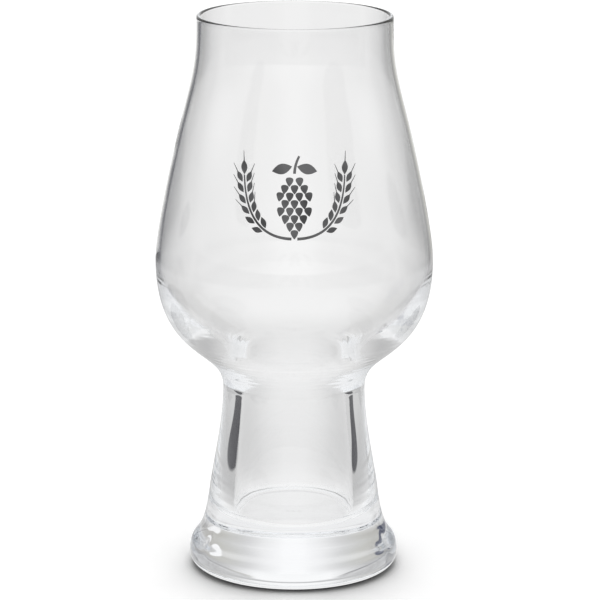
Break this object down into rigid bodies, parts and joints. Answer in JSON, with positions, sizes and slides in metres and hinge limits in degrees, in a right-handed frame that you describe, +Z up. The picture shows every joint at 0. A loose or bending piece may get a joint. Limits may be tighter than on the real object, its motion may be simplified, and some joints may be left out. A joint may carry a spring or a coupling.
{
  "type": "beer glass",
  "caption": "Clear one-piece tulip beer glass: a wide bowl drawn in to a short upright lip, on a thick hollow stem with a flared solid foot.",
  "frame": {"origin": "centre of the underside, on the surface that the glass stands on", "axes": "+Z up along the axis of the glass; the printed side faces -Y"},
  "size_m": [0.09, 0.09, 0.182],
  "materials": {
    "glass": "clear polished glass, slightly rippled around the neck",
    "print": "thin matt dark grey enamel print on the front of the bowl"
  },
  "bodies": {
    "root": {"glass": "glass"}
  },
  "joints": []
}
